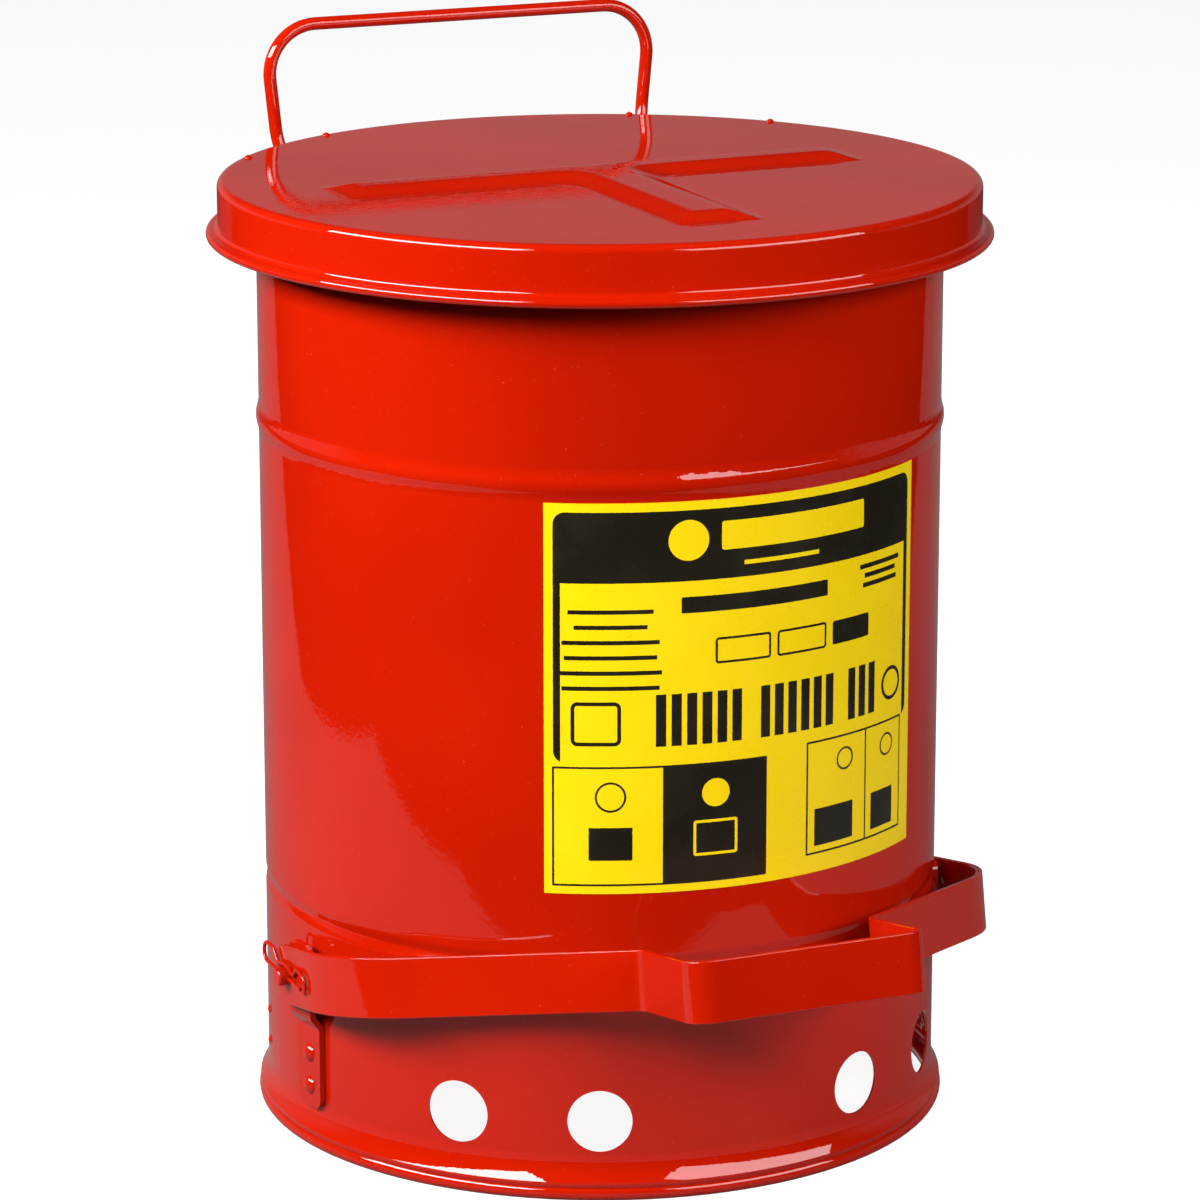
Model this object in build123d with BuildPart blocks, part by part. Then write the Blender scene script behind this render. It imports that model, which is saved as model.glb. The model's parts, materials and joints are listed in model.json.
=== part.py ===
"""Foot-operated oily waste can: a round steel can whose lid is lifted by a pedal strap.

Millimetres. +Z is up, -Y is the front, the can's axis is the Z axis and the floor is Z = 0.
"""
from build123d import *
from math import acos, asin, atan2, cos, degrees, hypot, radians, sin, sqrt
import os

# ---------------------------------------------------------------- driving dimensions
SHEET = 1.0                 # body and lid sheet thickness
BODY_R = 146.0              # outside radius of the body wall
RIM_R = 147.4               # centre radius of the curled top rim
RIM_CURL = 2.7              # radius of the curl itself
RIM_TOP = 404.5             # height of the top of the curled rim
BEAD_Z = 304.5              # outward stiffening bead
BEAD_WIDTH = 13.6
BEAD_RISE = 1.2
BEAD_CROWN_R = 9.0
GROOVE_Z = 101.8            # inward groove that the bottom pan rests on
GROOVE_WIDTH = 5.0          # width of its inner bump; outside it blends in over a wider band
GROOVE_OUTER_WIDTH = 9.6
GROOVE_DEPTH = 1.1
FLARE_Z = 19.5              # the foot starts to flare out here
FLARE_MID_R = 146.8
FLARE_MID_Z = 13.6
FLARE_R = 149.6
FLARE_END_Z = 8.2
HEM_R = 146.9               # rolled hem that the can stands on
HEM_Z = 3.15
HEM_CURL = 3.3

VENT_Z = 34.0               # air holes round the base
VENT_R = 13.5
VENT_ANGLES = (-48, -24, 24, 48, 132, 156, 204, 228)

PAN_Z = 104.4               # underside of the raised bottom
PAN_RIM = 9.0

LID_TOP = 405.8
LID_R = 162.1
LID_EDGE_R = 3.2            # rounding of the lid's top edge
FLANGE_R = 167.1            # outward rolled lip of the lid
FLANGE_CURL = 2.0
FLANGE_LOW = 381.0

RIB_HEIGHT = 4.0            # pressed T-shaped stiffening rib in the lid
RIB_SLOPE = 10.0            # plan width of its sloping sides
RIB_ARM_WIDTH = 28.0
RIB_STEM_WIDTH = 34.0
RIB_HALF_SPAN = 118.0
RIB_ARM_Y = 3.5
RIB_STEM_END = -120.0

SHAFT_Y = -26.0             # cross shaft that the pedal turns on
SHAFT_Z = 78.0
SHAFT_R = 4.0
SHAFT_HALF = 161.5
SHAFT_FLAT = 3.0            # half the distance across the flats at its ends
RUNNING = 0.05              # radial clearance of a turning fit
SNUG = 0.03                 # radial clearance of a fixed fit

STRAP_THICK = 3.0
STRAP_HEIGHT = 25.4
STRAP_SIDE_X = 154.5        # centre of the strap beside the pivots
STRAP_TILT = 10.6           # the front of the pedal stands higher than its pivots
TREAD_REACH = 187.5         # from the shaft to the middle of the tread's strap
TREAD_HALF = 52.0
TREAD_ROOT = 137.0          # from the shaft to the corners beside the body
STRAP_BODY_GAP = 159.5      # distance of the strap's arms from the can's axis
STRAP_END = 13.0            # strap left behind the shaft

BRACKET_AZ = 80.4           # pivot brackets, measured from the front
BRACKET_WIDTH = 17.0
BRACKET_THICK = 2.5
BRACKET_LOW = 18.0
BRACKET_TOP = 92.0
BRACKET_STEP_Z = 55.0
BRACKET_OUT = 4.3           # how far its upper half stands off the wall

LID_OPENS = 60.0            # degrees
HINGE_Y = 186.0
HINGE_Z = 385.0
HINGE_PIN_R = 3.0
LIFT = 28.0                 # travel of the lift rod, and its lever on the lid
ROD_X = 2.6                 # inner face of the lift rod
ROD_THICK = 3.0
ROD_WIDTH = 11.0
ROD_PIN_R = 2.5
ROD_PIN_PLAY = 0.5          # play of each rod pin in its slot
ARM_LENGTH = 188.5          # shaft to the rod's lower pin
ARM_DROP = 18.0             # how far the arm's end hangs below the shaft at rest
ARM_THICK = 4.0

HANDLE_WIRE_R = 2.9
HANDLE_SHIFT = 15.6         # the handle sits a little to the right
HANDLE_TOP_Z = 447.9
HANDLE_TOP_Y = 191.0
HANDLE_HALF = 95.2
HANDLE_CORNER_R = 22.0
HANDLE_KNEE = (89.6, 190.5, 393.0)
HANDLE_FOOT_HALF = 68.0
HANDLE_FOOT_R = 150.5
HANDLE_FOOT_TOP = 336.0
HANDLE_FOOT_LOW = 262.0

LABEL_AZ = 2.8
LABEL_HALF_ANGLE = 35.8
LABEL_LOW = 133.0
LABEL_HIGH = 297.5
LABEL_THICK = 0.2

NUB_AZ = (127.0, 151.2, 206.2, 230.4)   # rivets of the lid's inner band
NUB_R = 157.5
NUB_SHANK_R = 1.2
STIFFENER_AZ = 62.0         # half the arc of the band inside the lid's rear edge
STIFFENER_WIDTH = 9.0
STIFFENER_DROP = 12.0

LEAF_LOW = 387.2            # hinge leaf on the lid's skirt
LEAF_HIGH = 401.0
LEAF_THICK = 2.5
LEAF_HALF_AZ = 11.8
LID_EAR_X = 26.0
EAR_THICK = 3.0
HINGE_BOSS_R = 7.0
LEAF_SHANK_R = 1.6

BASE_PLATE_THICK = 2.5      # hinge bracket on the body
BASE_PLATE_LOW = 322.0
BASE_PLATE_HIGH = 366.0
BASE_PLATE_AZ = 13.4
BODY_EAR_X = 30.0
PLATE_SHANK_R = 2.0
HINGE_PIN_HALF = 36.0

CLIP_HEIGHT = 14.0          # saddle clips that hold the handle
CLIP_THICK = 1.8
CLIP_ZS = (278.0, 320.5)
CLIP_WIDTH = 26.5
CLIP_SHANK_R = 1.4

TREAD_CORNER_R = 8.5
STRAP_BEND_R = 65.0
STRAP_EDGE_R = 0.6
STRAP_END_R = 8.0
HAIRPIN_WIRE_R = 0.85
HAIRPIN_ANGLE = 1.0         # its legs run up to the rear
HAIRPIN_EYE = 8.4           # distance between its legs at the eye
HAIRPIN_GAP = 0.5           # between the wire and the strap
ROLL_PIN_R = 2.0
ROLL_PIN_X = 8.0
BUSH_R = 6.0
BUSH_FLANGE_X = 144.95
BUSH_FLANGE_THICK = 1.4
WASHER_THICK = 0.6
BRACKET_RIVET_ZS = (42.0, 27.5)
HUB_R = 8.0
HUB_HALF = 12.0

ROD_FRONT_Y = 156.3         # front edge of the lift rod
GUIDE_GAP = 0.6
GUIDE_THICK = 2.0
GUIDE_HEIGHT = 14.0
GUIDE_ZS = (135.0, 285.0)
GUIDE_RIVET_TURN = 5.6
REST_LOW = 61.6             # strap inside the base that the lever arm rests on
REST_THICK = 2.0
REST_Y = (27.0, 45.0)
REST_TAB_R = (143.0, 144.95)
REST_TAB_AZ = (99.9, 108.6)
BASE_RIVET_ZS = (42.0, 28.0)
BASE_SHANK_R = 1.3
TAIL = 0.8                  # rivet tail left standing inside the wall
FIT_GAP = 0.05              # gap left between plates that are riveted together

# ---------------------------------------------------------------- worked-out dimensions
FLARE_TANGENT = (0.56, -0.83)
BODY_INNER_R = BODY_R - SHEET
LID_INNER_R = LID_R - SHEET
LID_INNER_TOP = LID_TOP - SHEET
ROD_PIN_TOP = (HINGE_Y - LIFT * cos(radians(LID_OPENS / 2)), HINGE_Z - LIFT / 2)
ARM_REST = degrees(asin(ARM_DROP / ARM_LENGTH))
ARM_UP = degrees(asin((LIFT - ARM_DROP) / ARM_LENGTH))
PEDAL_OPENS = ARM_REST + ARM_UP
ARM_END_REST = SHAFT_Y + ARM_LENGTH * cos(radians(ARM_REST))
ARM_END_MID = SHAFT_Y + ARM_LENGTH
ROD_PIN_LOW = ((ARM_END_REST + ARM_END_MID) / 2, SHAFT_Z - ARM_DROP)
HINGE_HEAD_X = BODY_EAR_X + EAR_THICK + FIT_GAP
FLAT_START = STRAP_SIDE_X - STRAP_THICK / 2 - 0.4
HAIRPIN_X = STRAP_SIDE_X + STRAP_THICK / 2 + HAIRPIN_WIRE_R + HAIRPIN_GAP
HAIRPIN_DIR = (0, -cos(radians(HAIRPIN_ANGLE)), -sin(radians(HAIRPIN_ANGLE)))
ROD_BACK_Y = ROD_FRONT_Y + ROD_WIDTH
ROD_MIDDLE_X = ROD_X + ROD_THICK / 2
WALL_FACE = BODY_R + FIT_GAP
LEAF_FACE = LID_R + FIT_GAP


def section_plane(azimuth):
    """Upright plane through the can's axis; azimuth 0 is the front and 90 the right side."""
    a = radians(azimuth)
    return Plane(origin=(0, 0, 0), x_dir=(sin(a), -cos(a), 0), z_dir=(-cos(a), -sin(a), 0))


def wall_plane(azimuth, height, radius):
    """Plane that touches a cylinder round the can's axis, facing outwards."""
    a = radians(azimuth)
    return Plane(
        origin=(radius * sin(a), -radius * cos(a), height),
        x_dir=(cos(a), sin(a), 0),
        z_dir=(sin(a), -cos(a), 0),
    )


def side_plane(x, y, z):
    """Plane square to the X axis: sketch x runs to the rear and sketch y upwards."""
    return Plane(origin=(x, y, z), x_dir=(0, 1, 0), z_dir=(1, 0, 0))


def ring_sector(r_in, r_out, z_low, z_high, az_from, az_to):
    """Adds a curved plate to the part being built."""
    with BuildSketch(section_plane(az_from)) as section:
        with Locations(((r_in + r_out) / 2, (z_low + z_high) / 2)):
            Rectangle(r_out - r_in, z_high - z_low)
    revolve(section.sketch, axis=Axis.Z, revolution_arc=az_to - az_from)


def plate_in_side_view(x_low, x_high, outline, round_at=None, round_r=0):
    """Adds a flat plate square to the X axis with an outline of (y, z) points."""
    with BuildSketch(side_plane(x_low, 0, 0)) as side:
        with BuildLine():
            Polyline(*outline, close=True)
        make_face()
        if round_at is not None:
            with Locations(round_at):
                Circle(round_r)
    extrude(side.sketch, amount=x_high - x_low)


def cross_hole(y, z, radius, half_length=200):
    """Cuts a hole along X through the part being built."""
    with BuildSketch(side_plane(0, y, z)) as section:
        Circle(radius)
    extrude(section.sketch, amount=half_length, both=True, mode=Mode.SUBTRACT)


def rivet_solid(head_r, head_h, shank_r, shank_length):
    """A domed rivet whose head stands on the XY plane."""
    dome_r = (head_r**2 + head_h**2) / (2 * head_h)
    half_angle = asin(min(1, head_r / dome_r)) / 2
    crown = (dome_r * sin(half_angle), head_h - dome_r + dome_r * cos(half_angle))
    with BuildPart() as rivet:
        with BuildSketch(Plane.XZ):
            with BuildLine():
                Polyline((0, head_h), (0, -shank_length), (shank_r, -shank_length), (shank_r, 0), (head_r, 0))
                ThreePointArc((head_r, 0), crown, (0, head_h))
            make_face()
        revolve(axis=Axis.Z)
    return rivet.part


def rivet_group(label, master, planes):
    """Writes one node that holds a copy of the rivet on each plane."""
    with BuildPart() as group:
        with Locations(*planes):
            add(master)
    save(group, label)


def drill(planes, radius, depth=8.0):
    """Cuts rivet holes at the given planes into the part being built."""
    for plane in planes:
        with BuildSketch(plane) as spot:
            Circle(radius)
        extrude(spot.sketch, amount=depth, both=True, mode=Mode.SUBTRACT)


def handle_foot_azimuth(side):
    """Azimuth of a handle foot on the body's rear; side is -1 on the left and 1 on the right."""
    return 180 - degrees(asin((side * HANDLE_FOOT_HALF + HANDLE_SHIFT) / HANDLE_FOOT_R))


def save(builder, label):
    builder.part.label = label
    export_step(builder.part, f"parts/{label}.step")


os.makedirs("parts", exist_ok=True)

# ---------------------------------------------------------------- where the rivets sit
HEAD_GAP = 0.02
nub_spots = [Plane(wall_plane(az, LID_TOP + HEAD_GAP, NUB_R).origin) for az in NUB_AZ]
leaf_spots = [
    wall_plane(180 + az, (LEAF_LOW + LEAF_HIGH) / 2, LEAF_FACE + LEAF_THICK + HEAD_GAP)
    for az in (-6.6, -3.4, 3.4, 6.6)
]
plate_spots = [
    wall_plane(180 + az, z, WALL_FACE + BASE_PLATE_THICK + HEAD_GAP) for az in (-8, 8) for z in (331.0, 357.0)
]
clip_spots = {
    side: [
        wall_plane(handle_foot_azimuth(side) + turn, z, WALL_FACE + CLIP_THICK + HEAD_GAP)
        for turn in (-3.7, 3.7)
        for z in CLIP_ZS
    ]
    for side in (-1, 1)
}
bracket_spots = {
    side: [wall_plane(side * BRACKET_AZ, z, WALL_FACE + BRACKET_THICK + HEAD_GAP) for z in BRACKET_RIVET_ZS]
    for side in (-1, 1)
}
guide_middle = 180 - degrees(ROD_MIDDLE_X / BODY_R)
guide_spots = {
    z: [wall_plane(guide_middle + turn, z, WALL_FACE + GUIDE_THICK + HEAD_GAP)
        for turn in (-GUIDE_RIVET_TURN, GUIDE_RIVET_TURN)]
    for z in GUIDE_ZS
}
base_spots = [
    wall_plane(side * sum(REST_TAB_AZ) / 2, z, BODY_R + HEAD_GAP) for side in (-1, 1) for z in BASE_RIVET_ZS
]

# ---------------------------------------------------------------- can body
with BuildPart() as body_shell:
    with BuildSketch(Plane.XZ):
        with BuildLine():
            groove_low = GROOVE_Z - GROOVE_WIDTH / 2
            groove_high = GROOVE_Z + GROOVE_WIDTH / 2
            bead_low = BEAD_Z - BEAD_WIDTH / 2
            bead_high = BEAD_Z + BEAD_WIDTH / 2
            # the bead's crown runs into the wall through a hollow curve on each side
            bead_slope = 2 * atan2(2 * BEAD_RISE, BEAD_WIDTH)
            ease_r = BEAD_WIDTH / 2 / sin(bead_slope) - BEAD_CROWN_R
            turn_r = BODY_R + ease_r * (1 - cos(bead_slope))
            turn_z = ease_r * sin(bead_slope)
            ease_mid_r = BODY_R + ease_r * (1 - cos(bead_slope / 2))
            ease_mid_z = ease_r * sin(bead_slope / 2)
            rim_z = RIM_TOP - RIM_CURL
            blend_low = GROOVE_Z - GROOVE_OUTER_WIDTH / 2
            blend_high = GROOVE_Z + GROOVE_OUTER_WIDTH / 2
            Spline(
                (BODY_R, FLARE_Z),
                (FLARE_MID_R, FLARE_MID_Z),
                (FLARE_R, FLARE_END_Z),
                tangents=((0, -1), FLARE_TANGENT),
            )
            Line((BODY_R, FLARE_Z), (BODY_R, blend_low))
            Spline(
                (BODY_R, blend_low),
                (BODY_R - GROOVE_DEPTH, GROOVE_Z),
                (BODY_R, blend_high),
                tangents=((0, 1), (0, 1)),
            )
            Line((BODY_R, blend_high), (BODY_R, bead_low))
            ThreePointArc((BODY_R, bead_low), (ease_mid_r, bead_low + ease_mid_z), (turn_r, bead_low + turn_z))
            ThreePointArc(
                (turn_r, bead_low + turn_z), (BODY_R + BEAD_RISE, BEAD_Z), (turn_r, bead_high - turn_z)
            )
            ThreePointArc(
                (turn_r, bead_high - turn_z), (ease_mid_r, bead_high - ease_mid_z), (BODY_R, bead_high)
            )
            Polyline((BODY_R, bead_high), (BODY_R, rim_z), (BODY_INNER_R, rim_z), (BODY_INNER_R, bead_high))
            ThreePointArc(
                (BODY_INNER_R, bead_high), (BODY_INNER_R + BEAD_RISE, BEAD_Z), (BODY_INNER_R, bead_low)
            )
            Line((BODY_INNER_R, bead_low), (BODY_INNER_R, groove_high))
            ThreePointArc(
                (BODY_INNER_R, groove_high),
                (BODY_INNER_R - GROOVE_DEPTH, GROOVE_Z),
                (BODY_INNER_R, groove_low),
            )
            Line((BODY_INNER_R, groove_low), (BODY_INNER_R, FLARE_Z))
            Spline(
                (BODY_INNER_R, FLARE_Z),
                (FLARE_MID_R - 1.1 * SHEET, FLARE_MID_Z),
                (FLARE_R - 1.2 * SHEET, FLARE_END_Z),
                tangents=((0, -1), FLARE_TANGENT),
            )
            Polyline(
                (FLARE_R - 1.2 * SHEET, FLARE_END_Z),
                (HEM_R, HEM_Z + HEM_CURL - 1.0),
                (FLARE_R - 0.6, HEM_Z + HEM_CURL - 1.0),
            )
            ThreePointArc(
                (FLARE_R - 0.6, HEM_Z + HEM_CURL - 1.0),
                (FLARE_R + 0.1, FLARE_END_Z - 0.9),
                (FLARE_R, FLARE_END_Z),
            )
        make_face()
        with Locations((RIM_R, RIM_TOP - RIM_CURL)):
            Circle(RIM_CURL)
        with Locations((HEM_R, HEM_Z)):
            Circle(HEM_CURL)
        with Locations((HEM_R, -HEM_CURL)):
            Rectangle(4 * HEM_CURL, 2 * HEM_CURL, mode=Mode.SUBTRACT)
    revolve(axis=Axis.Z)
    for azimuth in VENT_ANGLES:
        with BuildSketch(wall_plane(azimuth, VENT_Z, BODY_R)):
            Circle(VENT_R)
        extrude(amount=8, both=True, mode=Mode.SUBTRACT)
    # holes for the shaft's bushes, and the slot that the lever arm works in
    cross_hole(SHAFT_Y, SHAFT_Z, BUSH_R + SNUG)
    with BuildSketch(wall_plane(180, SHAFT_Z - 4, BODY_R)):
        SlotOverall(43, 9, rotation=90)
    extrude(amount=8, both=True, mode=Mode.SUBTRACT)
    drill(plate_spots, PLATE_SHANK_R + SNUG)
    for side in (-1, 1):
        drill(clip_spots[side], CLIP_SHANK_R + SNUG)
        drill(bracket_spots[side], PLATE_SHANK_R + SNUG)
    for z in GUIDE_ZS:
        drill(guide_spots[z], PLATE_SHANK_R + SNUG)
    drill(base_spots, BASE_SHANK_R + SNUG)
save(body_shell, "body_shell")

with BuildPart() as bottom_pan:
    with BuildSketch(Plane.XY.offset(PAN_Z)):
        Circle(BODY_INNER_R - SNUG)
    extrude(amount=PAN_RIM)
    with BuildSketch(Plane.XY.offset(PAN_Z + SHEET)):
        Circle(BODY_INNER_R - SNUG - SHEET)
    extrude(amount=PAN_RIM, mode=Mode.SUBTRACT)
    fillet(bottom_pan.edges().filter_by(GeomType.CIRCLE).group_by(Axis.Z)[0], 0.8)
save(bottom_pan, "bottom_pan")

with BuildPart() as label:
    ring_sector(
        BODY_R + 0.02,
        BODY_R + 0.02 + LABEL_THICK,
        LABEL_LOW,
        LABEL_HIGH,
        LABEL_AZ - LABEL_HALF_ANGLE,
        LABEL_AZ + LABEL_HALF_ANGLE,
    )
save(label, "label_sticker")

# ---------------------------------------------------------------- lid
def rib_outline(shrink):
    """T-shaped outline of the pressed rib, drawn in by the given amount on every side."""
    half_arm = RIB_ARM_WIDTH / 2 - shrink
    half_stem = RIB_STEM_WIDTH / 2 - shrink
    half_span = RIB_HALF_SPAN - shrink
    stem_end = RIB_STEM_END + shrink
    tip = 0.92 * half_arm
    nose = 0.9 * half_stem
    inner = 12.0 + shrink
    with BuildSketch() as outline:
        with BuildLine():
            FilletPolyline(
                (-half_span, RIB_ARM_Y + half_arm),
                (-half_span, RIB_ARM_Y - half_arm),
                (-half_stem, RIB_ARM_Y - half_arm),
                (-half_stem, stem_end),
                (half_stem, stem_end),
                (half_stem, RIB_ARM_Y - half_arm),
                (half_span, RIB_ARM_Y - half_arm),
                (half_span, RIB_ARM_Y + half_arm),
                close=True,
                radius=[tip, tip, inner, nose, nose, inner, tip, tip],
            )
        make_face()
    return outline.sketch


def rib_solid(base_z):
    """The rib as a solid with sloping sides, standing on the given height."""
    base = rib_outline(0).moved(Location((0, 0, base_z)))
    crown = rib_outline(RIB_SLOPE).moved(Location((0, 0, base_z + RIB_HEIGHT)))
    with BuildPart() as rib:
        loft([base, crown], ruled=True)
    return rib.part


rib_outer = rib_solid(LID_TOP)
rib_inner = rib_solid(LID_INNER_TOP)

with BuildPart() as lid_shell:
    with BuildSketch(Plane.XZ):
        flange_z = FLANGE_LOW + FLANGE_CURL
        with BuildLine():
            Polyline((LID_R, LID_TOP - LID_EDGE_R), (LID_R, flange_z), (LID_INNER_R, flange_z))
            Line((LID_INNER_R, flange_z), (LID_INNER_R, LID_TOP - LID_EDGE_R))
            ThreePointArc(
                (LID_INNER_R, LID_TOP - LID_EDGE_R),
                (
                    LID_R - LID_EDGE_R + (LID_EDGE_R - SHEET) * cos(radians(45)),
                    LID_TOP - LID_EDGE_R + (LID_EDGE_R - SHEET) * sin(radians(45)),
                ),
                (LID_R - LID_EDGE_R, LID_INNER_TOP),
            )
            Polyline(
                (LID_R - LID_EDGE_R, LID_INNER_TOP),
                (0, LID_INNER_TOP),
                (0, LID_TOP),
                (LID_R - LID_EDGE_R, LID_TOP),
            )
            ThreePointArc(
                (LID_R - LID_EDGE_R, LID_TOP),
                (
                    LID_R - LID_EDGE_R + LID_EDGE_R * cos(radians(45)),
                    LID_TOP - LID_EDGE_R + LID_EDGE_R * sin(radians(45)),
                ),
                (LID_R, LID_TOP - LID_EDGE_R),
            )
        make_face()
        # the rolled lip: a flat fold out of the skirt that ends in a round bead
        with Locations(((LID_INNER_R + FLANGE_R - FLANGE_CURL) / 2, flange_z)):
            Rectangle(FLANGE_R - FLANGE_CURL - LID_INNER_R, 2 * FLANGE_CURL)
        with Locations((FLANGE_R - FLANGE_CURL, flange_z)):
            Circle(FLANGE_CURL)
    revolve(axis=Axis.Z)
    add(rib_outer)
    add(rib_inner, mode=Mode.SUBTRACT)
    drill(nub_spots, NUB_SHANK_R + SNUG)
    drill(leaf_spots, LEAF_SHANK_R + SNUG)
save(lid_shell, "lid_shell")

with BuildPart() as lid_stiffener:
    band_top = LID_INNER_TOP - FIT_GAP
    band_out = LID_R - LID_EDGE_R + 0.2
    band_from = 180 - STIFFENER_AZ
    band_to = 180 + STIFFENER_AZ
    ring_sector(band_out - STIFFENER_WIDTH, band_out, band_top - SHEET, band_top, band_from, band_to)
    ring_sector(band_out - SHEET, band_out, band_top - STIFFENER_DROP, band_top, band_from, band_to)
    drill(nub_spots, NUB_SHANK_R + SNUG)
save(lid_stiffener, "lid_stiffener")

nub = rivet_solid(1.75, 1.25, NUB_SHANK_R, 2 * SHEET + TAIL)
rivet_group("lid_rivets", nub, nub_spots)

# hinge leaf on the lid: a curved plate on the skirt, two ears for the hinge pin and the lift lug
with BuildPart() as lid_hinge_leaf:
    ring_sector(
        LEAF_FACE, LEAF_FACE + LEAF_THICK, LEAF_LOW, LEAF_HIGH, 180 - LEAF_HALF_AZ, 180 + LEAF_HALF_AZ
    )
    for x in (-LID_EAR_X - EAR_THICK, LID_EAR_X):
        plate_in_side_view(
            x,
            x + EAR_THICK,
            [
                (160.6, LEAF_HIGH),
                (172.0, LEAF_HIGH),
                (HINGE_Y + 3.6, HINGE_Z + 6.0),
                (HINGE_Y, HINGE_Z),
                (HINGE_Y - 5.5, HINGE_Z - 4.3),
                (FLANGE_R + 1.4, LEAF_LOW),
                (160.6, LEAF_LOW),
            ],
            round_at=(HINGE_Y, HINGE_Z),
            round_r=HINGE_BOSS_R,
        )
    lug_y, lug_z = ROD_PIN_TOP
    plate_in_side_view(
        -ARM_THICK / 2,
        ARM_THICK / 2,
        [
            (LID_R + 1.0, LEAF_HIGH),
            (171.0, LEAF_HIGH),
            (175.0, LEAF_HIGH - 4),
            (175.0, lug_z - 3),
            (172.0, lug_z - 6),
            (lug_y, lug_z - 6),
            (lug_y, lug_z + 6),
            (FLANGE_R + 1.2, lug_z + 6),
            (FLANGE_R + 1.2, LEAF_LOW),
            (LID_R + 1.0, LEAF_LOW),
        ],
        round_at=ROD_PIN_TOP,
        round_r=6.0,
    )
    with BuildSketch(Plane.XY.offset(LEAF_LOW - 1)):
        Circle(LEAF_FACE)
    extrude(amount=LEAF_HIGH - LEAF_LOW + 2, mode=Mode.SUBTRACT)
    cross_hole(HINGE_Y, HINGE_Z, HINGE_PIN_R + RUNNING)
    cross_hole(*ROD_PIN_TOP, ROD_PIN_R + SNUG)
    drill(leaf_spots, LEAF_SHANK_R + SNUG)
save(lid_hinge_leaf, "lid_hinge_leaf")

leaf_rivet = rivet_solid(3.4, 1.7, LEAF_SHANK_R, LEAF_THICK + SHEET + TAIL)
rivet_group("lid_leaf_rivets", leaf_rivet, leaf_spots)

# ---------------------------------------------------------------- hinge bracket on the body
with BuildPart() as body_hinge_bracket:
    ring_sector(
        WALL_FACE,
        WALL_FACE + BASE_PLATE_THICK,
        BASE_PLATE_LOW,
        BASE_PLATE_HIGH,
        180 - BASE_PLATE_AZ,
        180 + BASE_PLATE_AZ,
    )
    for x in (-BODY_EAR_X - EAR_THICK, BODY_EAR_X):
        plate_in_side_view(
            x,
            x + EAR_THICK,
            [
                (143.2, BASE_PLATE_LOW + 4),
                (143.2, BASE_PLATE_HIGH - 4),
                (HINGE_Y - 6.0, HINGE_Z - 2.5),
                (HINGE_Y, HINGE_Z),
                (HINGE_Y + 5.0, HINGE_Z - 4.9),
            ],
            round_at=(HINGE_Y, HINGE_Z),
            round_r=HINGE_BOSS_R,
        )
    with BuildSketch(Plane.XY.offset(BASE_PLATE_LOW - 1)):
        Circle(WALL_FACE)
    extrude(amount=BASE_PLATE_HIGH - BASE_PLATE_LOW + 2, mode=Mode.SUBTRACT)
    cross_hole(HINGE_Y, HINGE_Z, HINGE_PIN_R + SNUG)
    drill(plate_spots, PLATE_SHANK_R + SNUG)
save(body_hinge_bracket, "body_hinge_bracket")

plate_rivet = rivet_solid(4.0, 2.0, PLATE_SHANK_R, BASE_PLATE_THICK + SHEET + TAIL)
rivet_group("hinge_bracket_rivets", plate_rivet, plate_spots)

with BuildPart() as hinge_pin:
    with BuildSketch(side_plane(-HINGE_PIN_HALF, HINGE_Y, HINGE_Z)):
        Circle(HINGE_PIN_R)
    extrude(amount=HINGE_PIN_HALF + HINGE_HEAD_X)
    with BuildSketch(side_plane(HINGE_HEAD_X, HINGE_Y, HINGE_Z)):
        Circle(5.0)
    extrude(amount=2.4)
    fillet(hinge_pin.faces().sort_by(Axis.X)[-1].edges(), 0.6)
    # groove for the spring clip
    with BuildSketch(side_plane(-HINGE_PIN_HALF + 1.4, HINGE_Y, HINGE_Z)):
        Circle(HINGE_PIN_R + 1)
        Circle(HINGE_PIN_R - 0.6, mode=Mode.SUBTRACT)
    extrude(amount=0.9, mode=Mode.SUBTRACT)
save(hinge_pin, "hinge_pin")


def spring_clip(label, x, y, z, pin_r, thick):
    """An E-clip: a flat ring with one open side that snaps into a pin's groove."""
    with BuildPart() as clip:
        with BuildSketch(side_plane(x, y, z)):
            Circle(pin_r + 2.2)
            Circle(pin_r - 0.55, mode=Mode.SUBTRACT)
            with Locations((0, -pin_r)):
                Rectangle(1.5 * pin_r, 2 * pin_r + 2, mode=Mode.SUBTRACT)
        extrude(amount=thick)
    save(clip, label)


spring_clip("hinge_pin_clip", -HINGE_PIN_HALF + 1.5, HINGE_Y, HINGE_Z, HINGE_PIN_R, 0.7)

# ---------------------------------------------------------------- carrying handle
def foot_y(x):
    return sqrt(HANDLE_FOOT_R**2 - x**2)


def handle_points():
    knee_x, knee_y, knee_z = HANDLE_KNEE
    points = []
    for side in (-1, 1):
        foot_x = side * HANDLE_FOOT_HALF + HANDLE_SHIFT
        leg = [
            (foot_x, foot_y(foot_x), HANDLE_FOOT_LOW),
            (foot_x, foot_y(foot_x), HANDLE_FOOT_TOP),
            (side * knee_x + HANDLE_SHIFT, knee_y, knee_z),
            (side * HANDLE_HALF + HANDLE_SHIFT, HANDLE_TOP_Y, HANDLE_TOP_Z),
        ]
        points += leg if side < 0 else leg[::-1]
    return points


with BuildPart() as handle:
    with BuildLine() as handle_path:
        FilletPolyline(*handle_points(), radius=[18, 25, HANDLE_CORNER_R, HANDLE_CORNER_R, 25, 18])
    with BuildSketch(Plane(handle_path.line @ 0, z_dir=handle_path.line % 0)):
        Circle(HANDLE_WIRE_R)
    sweep()
save(handle, "handle")

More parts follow.
